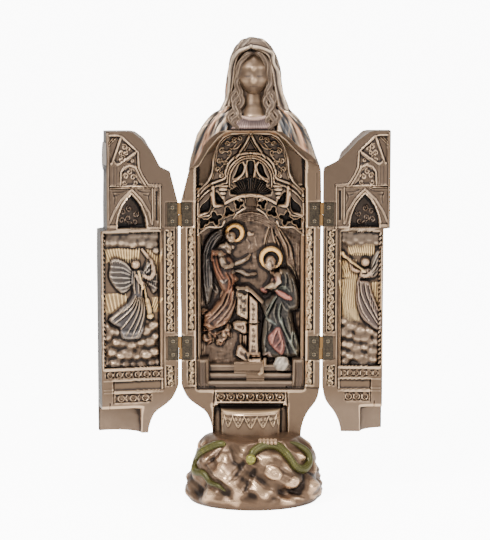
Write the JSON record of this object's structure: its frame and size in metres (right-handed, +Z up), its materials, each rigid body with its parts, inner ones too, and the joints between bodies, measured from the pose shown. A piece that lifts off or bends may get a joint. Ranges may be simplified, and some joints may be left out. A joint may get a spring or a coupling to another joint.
{
  "type": "triptych statue",
  "caption": "Small bronze-finish statue of a veiled figure whose robe opens as two hinged doors on a carved niche.",
  "frame": {"origin": "on the flat underside of the rock base, below the middle of the two hinge axes", "axes": "+Z up; the viewer in front looks along +Y; +X to the viewer's right"},
  "size_m": [0.1859, 0.0724, 0.29],
  "materials": {
    "bronze_resin": "cold-cast bronze resin, dark wash in the hollows, rubbed highlights, painted colour glazes",
    "hinge_leaf": "brass darkened with patina, bright at its edges",
    "hinge_pin": "bright brass",
    "screw": "blackened"
  },
  "bodies": {
    "root": {"statue_body": "bronze_resin", "left_upper_hinge_body_leaf": "hinge_leaf", "left_upper_hinge_pin": "hinge_pin", "left_upper_hinge_screw_1": "screw", "left_upper_hinge_screw_2": "screw", "left_lower_hinge_body_leaf": "hinge_leaf", "left_lower_hinge_pin": "hinge_pin", "left_lower_hinge_screw_1": "screw", "left_lower_hinge_screw_2": "screw", "right_upper_hinge_body_leaf": "hinge_leaf", "right_upper_hinge_pin": "hinge_pin", "right_upper_hinge_screw_1": "screw", "right_upper_hinge_screw_2": "screw", "right_lower_hinge_body_leaf": "hinge_leaf", "right_lower_hinge_pin": "hinge_pin", "right_lower_hinge_screw_1": "screw", "right_lower_hinge_screw_2": "screw"},
    "left_door": {"left_door": "bronze_resin", "left_upper_hinge_door_leaf": "hinge_leaf", "left_upper_hinge_screw_3": "screw", "left_upper_hinge_screw_4": "screw", "left_lower_hinge_door_leaf": "hinge_leaf", "left_lower_hinge_screw_3": "screw", "left_lower_hinge_screw_4": "screw"},
    "right_door": {"right_door": "bronze_resin", "right_upper_hinge_door_leaf": "hinge_leaf", "right_upper_hinge_screw_3": "screw", "right_upper_hinge_screw_4": "screw", "right_lower_hinge_door_leaf": "hinge_leaf", "right_lower_hinge_screw_3": "screw", "right_lower_hinge_screw_4": "screw"}
  },
  "joints": [
    {"name": "left_door_hinge", "type": "hinge", "parent": "root", "child": "left_door", "pos_m": [-0.0443, 0, 0.138], "axis": [0, 0, 1], "range_deg": [-13, 167]},
    {"name": "right_door_hinge", "type": "hinge", "parent": "root", "child": "right_door", "pos_m": [0.0443, 0, 0.138], "axis": [0, 0, 1], "range_deg": [-178, 2]}
  ]
}
